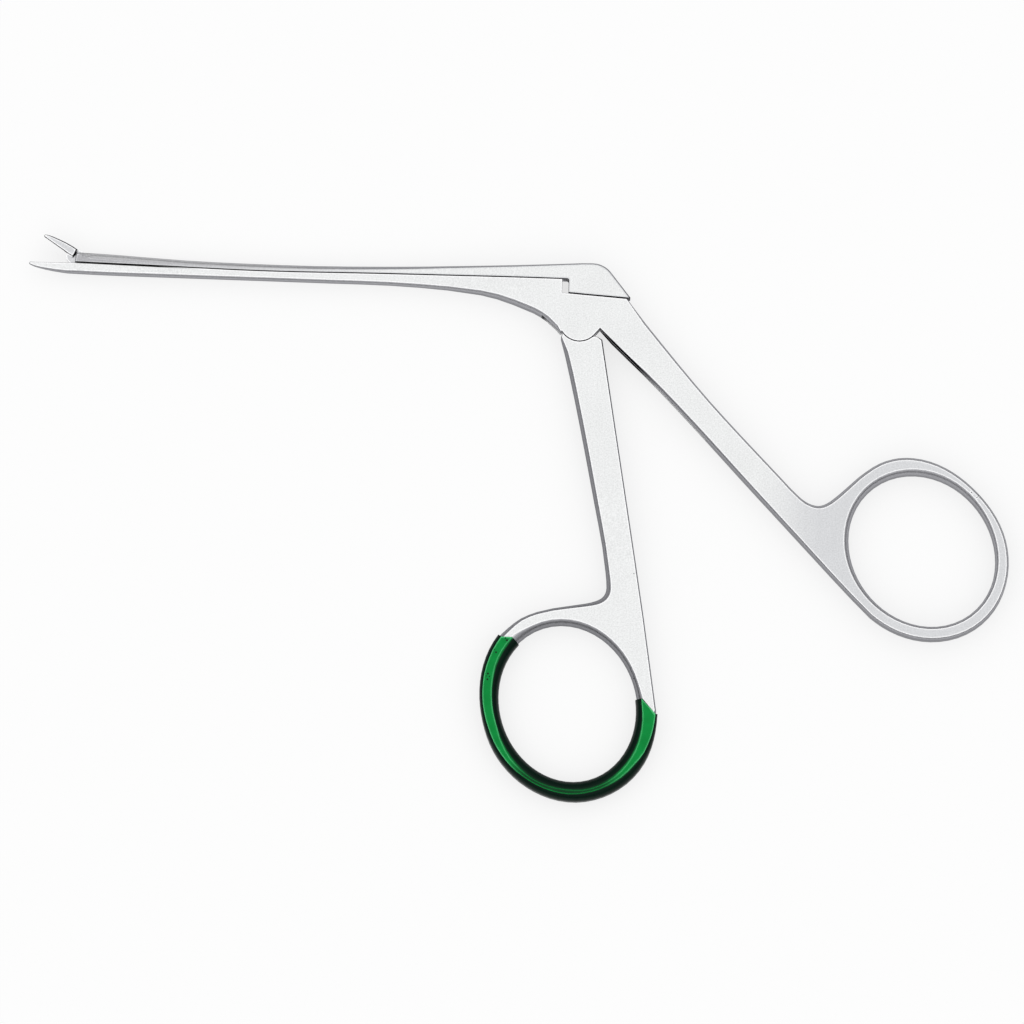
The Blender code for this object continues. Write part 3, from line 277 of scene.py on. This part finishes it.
def rim_share(tree, width, on_face):
    """One at a corner between a face and a flank: a line on the face, a finer one on the flank."""
    rounded = add_node(tree, "ShaderNodeBevel", {"Radius": width}, samples=8).outputs["Normal"]
    plain = add_node(tree, "ShaderNodeNewGeometry").outputs["Normal"]
    agree = add_node(tree, "ShaderNodeVectorMath", {0: rounded, 1: plain}, operation="DOT_PRODUCT")
    lines = []
    for start, full in (FLANK_RIM, FACE_RIM):
        line = add_node(tree, "ShaderNodeMapRange", {0: agree.outputs["Value"], 1: start, 2: full,
                                                     3: 0.0, 4: 1.0}, interpolation_type="SMOOTHSTEP")
        lines.append(line.outputs[0])
    return add_node(tree, "ShaderNodeMix", {0: on_face, 2: lines[0], 3: lines[1]}).outputs[0]


def stretch_share(tree, place, start, end):
    """Rises from nothing to one along the object, between two distances from the pivot."""
    x = add_node(tree, "ShaderNodeSeparateXYZ", {0: place}).outputs["X"]
    return add_node(tree, "ShaderNodeMapRange", {0: x, 1: PIVOT.x + start * MM, 2: PIVOT.x + end * MM,
                                                 3: 0.0, 4: 1.0}, interpolation_type="SMOOTHSTEP").outputs[0]


def line_share(tree, place, x0, y0, x1, y1, width):
    """One along a thin straight mark on the object, fading out over the last third of it."""
    start = PIVOT.xy + Vector((x0, y0)) * MM
    run = Vector((x1 - x0, y1 - y0)) * MM
    way = run.normalized()
    length = run.length
    arm = add_node(tree, "ShaderNodeVectorMath", {0: place, 1: (start.x, start.y, 0)},
                   operation="SUBTRACT").outputs[0]
    across = add_node(tree, "ShaderNodeVectorMath", {0: arm, 1: (-way.y, way.x, 0)},
                      operation="DOT_PRODUCT").outputs["Value"]
    along = add_node(tree, "ShaderNodeVectorMath", {0: arm, 1: (way.x, way.y, 0)},
                     operation="DOT_PRODUCT").outputs["Value"]
    off = add_node(tree, "ShaderNodeMath", {0: across}, operation="ABSOLUTE").outputs[0]
    half = width * MM
    shares = [
        add_node(tree, "ShaderNodeMapRange", {0: off, 1: 0.6 * half, 2: half, 3: 1.0, 4: 0.0}).outputs[0],
        add_node(tree, "ShaderNodeMapRange", {0: along, 1: -half, 2: half, 3: 0.0, 4: 1.0}).outputs[0],
        add_node(tree, "ShaderNodeMapRange", {0: along, 1: length * 2 / 3, 2: length + half,
                                              3: 1.0, 4: 0.0}).outputs[0],
    ]
    return product(tree, product(tree, shares[0], shares[1]), shares[2])


def spot_share(tree, place, spots, core):
    """One inside each small round spot, nothing elsewhere; the core is the share that is full."""
    flat = add_node(tree, "ShaderNodeVectorMath", {0: place, 1: (1, 1, 0)}, operation="MULTIPLY").outputs[0]
    share = None
    for x, y, radius in spots:
        centre = (PIVOT.x + x * MM, PIVOT.y + y * MM, 0)
        away = add_node(tree, "ShaderNodeVectorMath", {0: flat, 1: centre}, operation="DISTANCE")
        spot = add_node(tree, "ShaderNodeMapRange", {0: away.outputs["Value"], 1: core * radius * MM,
                                                     2: radius * MM, 3: 1.0, 4: 0.0}).outputs[0]
        if share is None:
            share = spot
        else:
            share = add_node(tree, "ShaderNodeMath", {0: share, 1: spot}, operation="MAXIMUM").outputs[0]
    return share


def pin_places():
    """The four pins as spots, a little wider than their heads."""
    spots = []
    for node in PIN_NODES:
        low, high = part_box(node)
        middle = ((low + high) / 2 - PIVOT) / MM
        spots.append((middle.x, middle.y, (high.x - low.x) / (2 * MM) + PIN_MARGIN))
    return spots


def satin_steel(name, finish, face=None, flank=None, rim_highlight=None, dulled=None, stretch=None, specks=(),
                seam_shadow=()):
    """Forged stainless steel, ground and then bead-blasted.

    The fine dimples break the shine into a soft even grey that looks nearly white from above, with
    the grinding lines showing faintly through. A bright line along the edges of the faces is a painted
    highlight with a painted dark line beside it on the flank, and the flanks carry painted shade, a darker
    colour than the faces.
    """
    material, tree, place = start_material(name)
    grain = add_node(tree, "ShaderNodeTexNoise", {"Vector": place, "Scale": 1 / finish.grain, "Detail": 2.0,
                                                  "Roughness": 0.6})
    marks = add_node(tree, "ShaderNodeTexNoise", {"Vector": place, "Scale": 1 / finish.smudge, "Detail": 3.0,
                                                  "Roughness": 0.55})
    along = add_node(tree, "ShaderNodeMapping", {"Vector": place, "Rotation": (0, 0, GRINDING_TURN),
                                                 "Scale": (1.0, 0.06, 1.0)})
    lines = add_node(tree, "ShaderNodeTexNoise", {"Vector": along.outputs[0], "Scale": 1 / finish.scratch,
                                                  "Detail": 2.0, "Roughness": 0.5})
    on_face = face_share(tree, *FACE_UPRIGHT)
    off_pins = add_node(tree, "ShaderNodeMath", {0: 1.0, 1: spot_share(tree, place, pin_places(), 0.9)},
                        operation="SUBTRACT").outputs[0]
    # Mask of the painted highlight and painted shade lines along the face edges, kept off the pins.
    on_rim = product(tree, rim_share(tree, finish.rim, on_face), off_pins)
    face = tuple(face or finish.face_steel)
    flank = tuple(flank or finish.shaded_flank_steel)
    if stretch:
        reach = stretch_share(tree, place, *stretch)
        face = mix_colour(tree, reach, face, tuple(dulled))
        flank = mix_colour(tree, reach, tuple(finish.shaded_flank_steel), flank)
    # Painted shade: the flanks take the darker flank colour, chosen by the direction of the normal.
    body = mix_colour(tree, on_face, flank, face)
    # Painted highlight on the face side of each edge, painted shade on the flank side.
    edge = mix_colour(tree, on_face, tuple(finish.rim_shade_steel), tuple(rim_highlight or finish.rim_highlight_steel))
    steel = mix_colour(tree, on_rim, body, edge)
    speckle = noise_range(tree, grain, 0.88, 1.08)
    shade = noise_range(tree, marks, 0.97, 1.02)
    stroke = noise_range(tree, lines, 0.985, 1.01)
    strength = product(tree, product(tree, speckle, shade), stroke)
    toned = add_node(tree, "ShaderNodeVectorMath", {0: steel, 3: strength}, operation="SCALE")
    colour = toned.outputs[0]
    if specks:
        colour = mix_colour(tree, spot_share(tree, place, specks, 0.5), colour, tuple(finish.pit))
    # Painted shadow along narrow seams and gaps.
    for mark in seam_shadow:
        colour = mix_colour(tree, line_share(tree, place, *mark), colour, tuple(finish.seam_shadow))
    spread = finish.steel_roughness
    rough = noise_range(tree, marks, spread - 0.03, spread + 0.04)
    bump = add_node(tree, "ShaderNodeBump", {"Height": grain.outputs["Fac"], "Strength": 0.25,
                                             "Distance": finish.grain * 0.12})
    shader = add_node(tree, "ShaderNodeBsdfPrincipled", {
        "Base Color": colour,
        "Metallic": 1.0,
        "Roughness": rough,
        "Specular Tint": (0.45, 0.45, 0.46, 1.0),
        "Normal": bump.outputs[0],
    })
    add_node(tree, "ShaderNodeOutputMaterial", {"Surface": shader.outputs[0]})
    return material


def foot_shade_share(tree, place):
    """One at the foot of the front ring, where the face takes painted shade, nothing at its sides."""
    centre = PIVOT + Vector((*RING_CENTRE, 0)) * MM
    foot = math.radians(FOOT_SHADE_WAY)
    arm = add_node(tree, "ShaderNodeVectorMath", {0: place, 1: tuple(centre)},
                   operation="SUBTRACT").outputs[0]
    flat = add_node(tree, "ShaderNodeVectorMath", {0: arm, 1: (1, 1, 0)}, operation="MULTIPLY").outputs[0]
    way = add_node(tree, "ShaderNodeVectorMath", {0: flat}, operation="NORMALIZE").outputs[0]
    near = add_node(tree, "ShaderNodeVectorMath", {0: way, 1: (math.cos(foot), math.sin(foot), 0)},
                    operation="DOT_PRODUCT").outputs["Value"]
    return add_node(tree, "ShaderNodeMapRange", {0: near, 1: 0.72, 2: 0.92, 3: 0.0, 4: 1.0},
                    interpolation_type="SMOOTHSTEP").outputs[0]


def green_lacquer(name, finish):
    """Baked green lacquer, dipped, over the steel bar of the ring.

    It is vivid green on the flat face. A lighter line along the face's edges is a painted highlight,
    and the nearly black flanks and the darker foot of the ring are painted shade. A few pits have caught
    dirt.
    """
    material, tree, place = start_material(name)
    marks = add_node(tree, "ShaderNodeTexNoise", {"Vector": place, "Scale": 1 / (0.3 * finish.smudge),
                                                  "Detail": 3.0, "Roughness": 0.6})
    on_face = face_share(tree, *FACE_UPRIGHT)
    # Mask of the painted highlight line on the face's edges and the painted shade beside it on the flank.
    on_rim = rim_share(tree, finish.rim, on_face)
    # Painted shade: the face darkens towards the ring's foot.
    thick = foot_shade_share(tree, place)
    face = mix_colour(tree, thick, tuple(finish.face_green), tuple(finish.foot_shade_green))
    # Painted highlight along the face's edges, fading at the ring's foot.
    rim = mix_colour(tree, thick, tuple(finish.rim_highlight_green), tuple(finish.face_green))
    # Painted shade: the flanks take a nearly black green, chosen by the direction of the normal.
    body = mix_colour(tree, on_face, tuple(finish.shaded_flank_green), face)
    edge = mix_colour(tree, on_face, tuple(finish.shaded_flank_green), rim)
    green = mix_colour(tree, on_rim, body, edge)
    shade = noise_range(tree, marks, 0.86, 1.1)
    toned = add_node(tree, "ShaderNodeVectorMath", {0: green, 3: shade}, operation="SCALE")
    colour = mix_colour(tree, spot_share(tree, place, COAT_PITS, 0.5), toned.outputs[0], tuple(finish.pit))
    bump = add_node(tree, "ShaderNodeBump", {"Height": marks.outputs["Fac"], "Strength": 0.12,
                                             "Distance": 0.02 * MM})
    shader = add_node(tree, "ShaderNodeBsdfPrincipled", {
        "Base Color": colour,
        "Roughness": finish.lacquer_roughness,
        "IOR": 1.5,
        "Specular IOR Level": 0.08,
        "Normal": bump.outputs[0],
    })
    add_node(tree, "ShaderNodeOutputMaterial", {"Surface": shader.outputs[0]})
    return material


def settle_normals(mesh, corner_limit):
    """Smooth the rounded edges, and keep the broad faces flat right up to them."""
    mesh.polygons.foreach_set("use_smooth", [True] * len(mesh.polygons))
    mesh.set_sharp_from_angle(angle=corner_limit)
    corners = [Vector(corner.vector) for corner in mesh.corner_normals]
    for face in mesh.polygons:
        if abs(face.normal.z) > FLAT_UPRIGHT:
            for index in face.loop_indices:
                corners[index] = face.normal.copy()
    mesh.normals_split_custom_set(corners)


def merged_copy(node):
    """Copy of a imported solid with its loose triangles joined."""
    bm = bmesh.new()
    bm.from_mesh(frame["nodes"][node].data)
    bmesh.ops.remove_doubles(bm, verts=bm.verts[:], dist=1e-7)
    bmesh.ops.dissolve_degenerate(bm, dist=1e-8, edges=bm.edges[:])
    mesh = bpy.data.meshes.new(node + "_finished")
    bm.to_mesh(mesh)
    bm.free()
    return mesh


def place_piece(node, mesh, material):
    """Put a finished mesh in the scene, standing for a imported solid."""
    settle_normals(mesh, CORNER_LIMIT)
    piece = bpy.data.objects.new(node + "_finished", mesh)
    bpy.context.scene.collection.objects.link(piece)
    mesh.materials.clear()
    mesh.materials.append(material)
    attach(piece, frame["nodes"][node]["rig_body"])
    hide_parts(node)
    return piece


def ring_middle(way):
    """Distance of the front ring's middle line from its centre, in a direction."""
    turn = math.radians(way - RING_TILT)
    return 1 / math.hypot(math.cos(turn) / RING_MIDDLE[0], math.sin(turn) / RING_MIDDLE[1])


def drawn_at(way):
    """How far the inner and the outer edge of the ring's face are drawn in, in a direction."""
    for (w0, in0, out0), (w1, in1, out1) in zip(RING_DRAWN, RING_DRAWN[1:]):
        if w0 <= way <= w1:
            t = (way - w0) / (w1 - w0)
            t = t * t * (3 - 2 * t)
            return in0 + (in1 - in0) * t, out0 + (out1 - out0) * t
    return 0.0, 0.0


def draw_in(mesh):
    """Round the edges of the front ring's flat faces further, as the hand filing left them."""
    centre = PIVOT.xy + Vector(RING_CENTRE) * MM
    rows = []
    for vertex in mesh.vertices:
        arm = vertex.co.xy - centre
        way = math.degrees(math.atan2(arm.y, arm.x)) % 360
        off = arm.length - ring_middle(way) * MM
        if abs(off) < RING_REACH * MM and RING_DRAWN[0][0] <= way:
            rows.append((vertex, arm.normalized(), way, off))
    low = min(row[0].co.z for row in rows)
    high = max(row[0].co.z for row in rows)
    for vertex, outward, way, off in rows:
        height = abs(2 * (vertex.co.z - low) / (high - low) - 1)
        inner, outer = drawn_at(way)
        move = inner if off < 0 else -outer
        vertex.co.xy = vertex.co.xy + outward * (move * height ** 4 * MM)


def plain_mesh(name, obj):
    """Plain mesh of an object with its modifiers applied; the object itself is removed."""
    seen = obj.evaluated_get(bpy.context.evaluated_depsgraph_get())
    mesh = bpy.data.meshes.new_from_object(seen)
    mesh.name = name
    obj.modifiers.clear()
    bpy.data.objects.remove(obj)
    return mesh


def score_cutter(route, top):
    """V-shaped bar along a route on the top face, to cut a fine groove."""
    bm = bmesh.new()
    stations = []
    points = [PIVOT.xy + Vector(p) * MM for p in route]
    for i, point in enumerate(points):
        way = (points[min(i + 1, len(points) - 1)] - points[max(i - 1, 0)]).normalized()
        side = Vector((-way.y, way.x)) * SCORE_WIDTH * MM
        deep = SCORE_DEPTH * MM
        corners = ((point + side, top + deep), (point - side, top + deep), (point, top - deep))
        stations.append([bm.verts.new((p.x, p.y, z)) for p, z in corners])
    for one, two in zip(stations, stations[1:]):
        for k in range(3):
            bm.faces.new((one[k], one[(k + 1) % 3], two[(k + 1) % 3], two[k]))
    bm.faces.new(stations[0])
    bm.faces.new(stations[-1])
    bmesh.ops.recalc_face_normals(bm, faces=bm.faces[:])
    mesh = bpy.data.meshes.new("score_cutter")
    bm.to_mesh(mesh)
    bm.free()
    return mesh


def score_face(mesh, routes):
    """Cut fine grooves into the top face, where a tool once slipped."""
    bm = bmesh.new()
    bm.from_mesh(mesh)
    surface = BVHTree.FromBMesh(bm)
    bm.free()
    piece = bpy.data.objects.new("scored_piece", mesh)
    bpy.context.scene.collection.objects.link(piece)
    cutters = []
    for route in routes:
        start = PIVOT.xy + Vector(route[0]) * MM
        top = surface.ray_cast(Vector((start.x, start.y, 1.0)), Vector((0, 0, -1)))[0].z
        cutter = bpy.data.objects.new("score_cutter", score_cutter(route, top))
        bpy.context.scene.collection.objects.link(cutter)
        cut = piece.modifiers.new("score", "BOOLEAN")
        cut.operation = "DIFFERENCE"
        cut.solver = "EXACT"
        cut.object = cutter
        cutters.append(cutter)
    scored = plain_mesh(mesh.name, piece)
    for cutter in cutters:
        bpy.data.objects.remove(cutter)
    return scored


def flush_rivet_tree():
    """Nodes of a flush rivet: a round shank with both ends spread to fill the mouths of its bore."""
    tree = bpy.data.node_groups.new("flush_rivet", "GeometryNodeTree")
    for name in ("Radius", "Length", "Spread", "Head"):
        tree.interface.new_socket(name, in_out="INPUT", socket_type="NodeSocketFloat")
    tree.interface.new_socket("Finish", in_out="INPUT", socket_type="NodeSocketMaterial")
    tree.interface.new_socket("Rivet", in_out="OUTPUT", socket_type="NodeSocketGeometry")
    given = add_node(tree, "NodeGroupInput").outputs
    shank = add_node(tree, "GeometryNodeMeshCylinder", {"Vertices": 48, "Side Segments": 3,
                                                        "Radius": given["Radius"], "Depth": given["Length"]},
                     fill_type="NGON")
    position = add_node(tree, "GeometryNodeInputPosition").outputs[0]
    axes = add_node(tree, "ShaderNodeSeparateXYZ", {0: position})
    half = product(tree, given["Length"], 0.5)
    height = add_node(tree, "ShaderNodeMath", {0: axes.outputs["Z"]}, operation="ABSOLUTE").outputs[0]
    near_end = product(tree, half, 0.7)
    at_end = add_node(tree, "ShaderNodeMath", {0: height, 1: near_end}, operation="GREATER_THAN").outputs[0]
    side = add_node(tree, "ShaderNodeMath", {0: axes.outputs["Z"]}, operation="SIGN").outputs[0]
    neck = add_node(tree, "ShaderNodeMath", {0: half, 1: given["Head"]}, operation="SUBTRACT").outputs[0]
    neck_z = product(tree, side, neck)
    new_z = add_node(tree, "ShaderNodeMix", {0: at_end, 2: neck_z, 3: axes.outputs["Z"]}).outputs[0]
    flare = add_node(tree, "ShaderNodeMath", {0: given["Spread"], 1: given["Radius"]}, operation="DIVIDE")
    widen = add_node(tree, "ShaderNodeMath", {0: at_end, 1: flare.outputs[0], 2: 1.0},
                     operation="MULTIPLY_ADD").outputs[0]
    new_x = product(tree, axes.outputs["X"], widen)
    new_y = product(tree, axes.outputs["Y"], widen)
    spot = add_node(tree, "ShaderNodeCombineXYZ", {0: new_x, 1: new_y, 2: new_z})
    shaped = add_node(tree, "GeometryNodeSetPosition", {"Geometry": shank.outputs["Mesh"],
                                                        "Position": spot.outputs[0]})
    solid = add_node(tree, "GeometryNodeRealizeInstances", {0: shaped.outputs[0]})
    finished = add_node(tree, "GeometryNodeSetMaterial", {"Geometry": solid.outputs[0],
                                                          "Material": given["Finish"]})
    add_node(tree, "NodeGroupOutput", {0: finished.outputs[0]})
    return tree


def rivet_mesh(node, tree, material, finish):
    """Flush rivet the size of a packed pin, in its place."""
    low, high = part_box(node)
    middle = (low + high) / 2
    holder = bpy.data.objects.new(node + "_rivet", bpy.data.meshes.new(node + "_rivet"))
    bpy.context.scene.collection.objects.link(holder)
    modifier = holder.modifiers.new("flush_rivet", "NODES")
    modifier.node_group = tree
    sizes = {
        "Radius": (high.x - low.x) / 2,
        "Length": high.z - low.z,
        "Spread": finish.rivet_spread,
        "Head": finish.rivet_head,
        "Finish": material,
    }
    for item in tree.interface.items_tree:
        if item.in_out == "INPUT":
            modifier[item.identifier] = sizes[item.name]
    mesh = plain_mesh(node + "_finished", holder)
    mesh.transform(Matrix.Translation(middle))
    return mesh


class FORCEPS_OT_handle(bpy.types.Operator):
    """Finish the handle forging: rear ring, shank, hub, lower bar and lower jaw"""

    bl_idname = "forceps.handle"
    bl_label = "Handle and lower jaw"

    def execute(self, context):
        node = "handle_shaft_and_lower_jaw"
        finish = context.scene.forceps_finish
        steel = satin_steel("blasted_steel_handle", finish, dulled=finish.dull_steel, stretch=RING_DULLING,
                            specks=HANDLE_SPECKS, seam_shadow=(SLIDER_SEAM, REAR_SAW_CUT, HUB_SAW_CUT))
        mesh = score_face(merged_copy(node), (RING_SCORE, RING_DASH))
        place_piece(node, mesh, steel)
        return {"FINISHED"}


class FORCEPS_OT_lever(bpy.types.Operator):
    """Finish the finger lever with its front ring"""

    bl_idname = "forceps.lever"
    bl_label = "Finger lever"

    def execute(self, context):
        finish = context.scene.forceps_finish
        mesh = merged_copy("finger_lever")
        draw_in(mesh)
        steel = satin_steel("blasted_steel_lever", finish, flank=finish.shaded_lever_flank, specks=LEVER_SPECKS)
        place_piece("finger_lever", mesh, steel)
        return {"FINISHED"}


class FORCEPS_OT_coat(bpy.types.Operator):
    """Finish the green coat of the front ring"""

    bl_idname = "forceps.coat"
    bl_label = "Green ring coat"

    def execute(self, context):
        finish = context.scene.forceps_finish
        mesh = merged_copy("finger_ring_coat")
        draw_in(mesh)
        place_piece("finger_ring_coat", mesh, green_lacquer("green_ring_lacquer", finish))
        return {"FINISHED"}


class FORCEPS_OT_slider(bpy.types.Operator):
    """Finish the sliding upper bar with its block"""

    bl_idname = "forceps.slider"
    bl_label = "Sliding bar"

    def execute(self, context):
        finish = context.scene.forceps_finish
        steel = satin_steel("blasted_steel_slider", finish, flank=finish.slider_steel,
                            rim_highlight=finish.dull_steel, dulled=finish.rubbed_slider,
                            stretch=SLIDER_DULLING, seam_shadow=(SLIDER_SEAM,))
        place_piece("slider_bar", merged_copy("slider_bar"), steel)
        return {"FINISHED"}


class FORCEPS_OT_jaw(bpy.types.Operator):
    """Finish the toothed upper jaw"""

    bl_idname = "forceps.jaw"
    bl_label = "Upper jaw"

    def execute(self, context):
        finish = context.scene.forceps_finish
        steel = satin_steel("blasted_steel_jaw", finish, face=finish.dull_steel, flank=finish.shaded_jaw_flank,
                            seam_shadow=(JAW_ROOT,))
        place_piece("upper_jaw", merged_copy("upper_jaw"), steel)
        return {"FINISHED"}


class FORCEPS_OT_pins(bpy.types.Operator):
    """Finish the four flush pins, riveted over at both ends"""

    bl_idname = "forceps.pins"
    bl_label = "Pins"

    def execute(self, context):
        finish = context.scene.forceps_finish
        steels = {
            "handle": satin_steel("blasted_steel_pins", finish),
            "slider": satin_steel("blasted_steel_slider_pins", finish, dulled=finish.rubbed_slider,
                                  stretch=SLIDER_DULLING),
        }
        tree = flush_rivet_tree()
        for node in PIN_NODES:
            steel = steels[frame["nodes"][node]["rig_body"]]
            place_piece(node, rivet_mesh(node, tree, steel, finish), steel)
        return {"FINISHED"}


def make_table(stage):
    """Plain pale table top under the object."""
    material, tree, place = start_material("pale_matt_board")
    fibre = add_node(tree, "ShaderNodeTexNoise", {"Vector": place, "Scale": 900.0, "Detail": 2.0})
    shade = noise_range(tree, fibre, 0.995, 1.0)
    toned = add_node(tree, "ShaderNodeVectorMath", {0: tuple(stage.table)[:3], 3: shade}, operation="SCALE")
    shader = add_node(tree, "ShaderNodeBsdfPrincipled", {
        "Base Color": toned.outputs[0],
        "Roughness": 0.9,
        "Specular IOR Level": 0.1,
    })
    path = add_node(tree, "ShaderNodeLightPath").outputs
    seen = add_node(tree, "ShaderNodeMath", {0: path["Is Camera Ray"], 1: path["Is Glossy Ray"]},
                    operation="MAXIMUM").outputs[0]
    seen = add_node(tree, "ShaderNodeMath", {0: seen, 1: path["Is Transmission Ray"]},
                    operation="MAXIMUM").outputs[0]
    lift = product(tree, seen, stage.haze)
    white = add_node(tree, "ShaderNodeEmission", {"Color": linear("#FFFFFF"), "Strength": 1.0})
    board = add_node(tree, "ShaderNodeMixShader", {0: lift, 1: shader.outputs[0], 2: white.outputs[0]})
    add_node(tree, "ShaderNodeOutputMaterial", {"Surface": board.outputs[0]})
    half = TABLE_HALF
    mesh = bpy.data.meshes.new("table_top")
    corners = [(-half, -half, 0), (half, -half, 0), (half, half, 0), (-half, half, 0)]
    mesh.from_pydata(corners, [], [(0, 1, 2, 3)])
    mesh.materials.append(material)
    table = bpy.data.objects.new("table_top", mesh)
    bpy.context.scene.collection.objects.link(table)


def make_light(stage):
    """Soft studio light: a broad white ceiling over dimmer sides."""
    world = bpy.data.worlds.new("soft_studio")
    bpy.context.scene.world = world
    world.use_nodes = True
    tree = world.node_tree
    tree.nodes.clear()
    way = add_node(tree, "ShaderNodeTexCoord").outputs["Generated"]
    height = add_node(tree, "ShaderNodeSeparateXYZ", {0: way}).outputs["Z"]
    rise = add_node(tree, "ShaderNodeMapRange", {0: height, 1: 0.10, 2: 0.72, 3: stage.surround,
                                                 4: stage.overhead}, interpolation_type="SMOOTHSTEP")
    light = add_node(tree, "ShaderNodeBackground", {"Color": linear("#FFFFFF"), "Strength": rise.outputs[0]})
    add_node(tree, "ShaderNodeOutputWorld", {"Surface": light.outputs[0]})


def make_camera(stage):
    """Camera over the object, leaning to the ring side, framed as the photograph is."""
    pixel = PIXEL * MM
    across = (PIVOT_COLUMN - HALF_PICTURE) * pixel
    up = (HALF_PICTURE - PIVOT_ROW) * pixel
    c = math.cos(stage.tilt)
    s = math.sin(stage.tilt)
    lean = Matrix(((1, 0, 0), (0, c, s), (0, -s, c))).transposed()
    turn = lean @ Matrix.Rotation(stage.roll, 3, "Z")
    pivot_top = Vector((PIVOT.x, PIVOT.y, CAD_BOX[1].z))
    aim = pivot_top - turn @ Vector((across, up, 0))
    camera = bpy.data.cameras.new("camera")
    camera.sensor_width = 36.0
    camera.lens = camera.sensor_width * stage.distance / (2 * HALF_PICTURE * pixel)
    camera.clip_end = 20.0
    seat = bpy.data.objects.new("camera", camera)
    seat.matrix_world = Matrix.Translation(aim + turn @ Vector((0, 0, stage.distance))) @ turn.to_4x4()
    bpy.context.scene.collection.objects.link(seat)
    bpy.context.scene.camera = seat


class FORCEPS_OT_stage(bpy.types.Operator):
    """Set the table, the soft light and the camera"""

    bl_idname = "forceps.stage"
    bl_label = "Table, light and camera"

    def execute(self, context):
        stage = context.scene.forceps_stage
        make_table(stage)
        make_light(stage)
        make_camera(stage)
        context.scene.view_settings.view_transform = "Standard"
        return {"FINISHED"}


PIECES = (FORCEPS_OT_handle, FORCEPS_OT_lever, FORCEPS_OT_coat, FORCEPS_OT_slider, FORCEPS_OT_jaw,
          FORCEPS_OT_pins, FORCEPS_OT_stage)


class FORCEPS_PT_sidebar(bpy.types.Panel):
    """Settings and makers of the forceps"""

    bl_idname = "FORCEPS_PT_sidebar"
    bl_label = "Ear forceps"
    bl_space_type = "VIEW_3D"
    bl_region_type = "UI"
    bl_category = "Forceps"

    def draw(self, context):
        for group in (context.scene.forceps_finish, context.scene.forceps_stage):
            for name in group.__annotations__:
                self.layout.prop(group, name)
        for piece in PIECES:
            self.layout.operator(piece.bl_idname)


CLASSES = (ForcepsFinish, ForcepsStage, *PIECES, FORCEPS_PT_sidebar)


def register():
    for item in CLASSES:
        bpy.utils.register_class(item)
    bpy.types.Scene.forceps_finish = bpy.props.PointerProperty(type=ForcepsFinish)
    bpy.types.Scene.forceps_stage = bpy.props.PointerProperty(type=ForcepsStage)


def unregister():
    del bpy.types.Scene.forceps_stage
    del bpy.types.Scene.forceps_finish
    for item in reversed(CLASSES):
        bpy.utils.unregister_class(item)


def main():
    register()
    bpy.ops.forceps.handle()
    bpy.ops.forceps.lever()
    bpy.ops.forceps.coat()
    bpy.ops.forceps.slider()
    bpy.ops.forceps.jaw()
    bpy.ops.forceps.pins()
    bpy.ops.forceps.stage()


if __name__ == "__main__":
    main()
